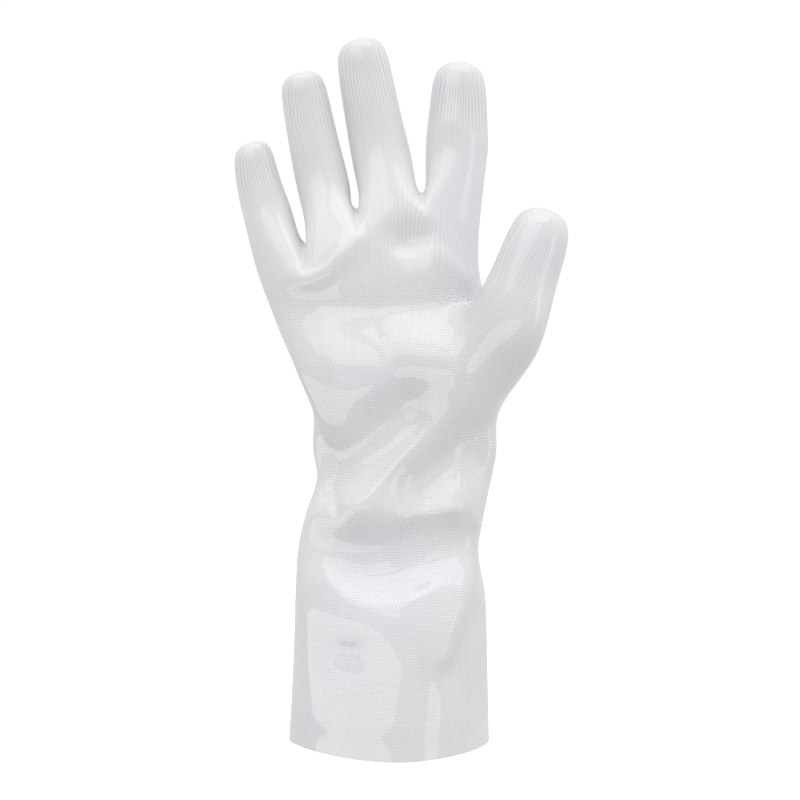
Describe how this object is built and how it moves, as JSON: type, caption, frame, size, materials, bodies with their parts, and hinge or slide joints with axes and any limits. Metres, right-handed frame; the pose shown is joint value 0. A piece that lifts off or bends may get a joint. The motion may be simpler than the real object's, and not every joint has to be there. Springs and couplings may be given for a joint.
{
  "type": "silicone heat-resistant glove",
  "caption": "Right-hand heat-resistant glove with a long straight cuff: a glossy milky silicone coat over a knitted liner, open at the wrist.",
  "frame": {"origin": "centre of the opening of the cuff, in the plane of its rim", "axes": "+Z from the cuff to the fingertips, -Y out of the palm, +X to the thumb's side"},
  "size_m": [0.1613, 0.0923, 0.3476],
  "materials": {
    "silicone": "glossy milky white silicone, thin enough for the knit under it to show",
    "knit": "plain knitted white cotton, matt"
  },
  "bodies": {
    "root": {"silicone_coat": "silicone", "knit_liner": "knit"}
  },
  "joints": []
}
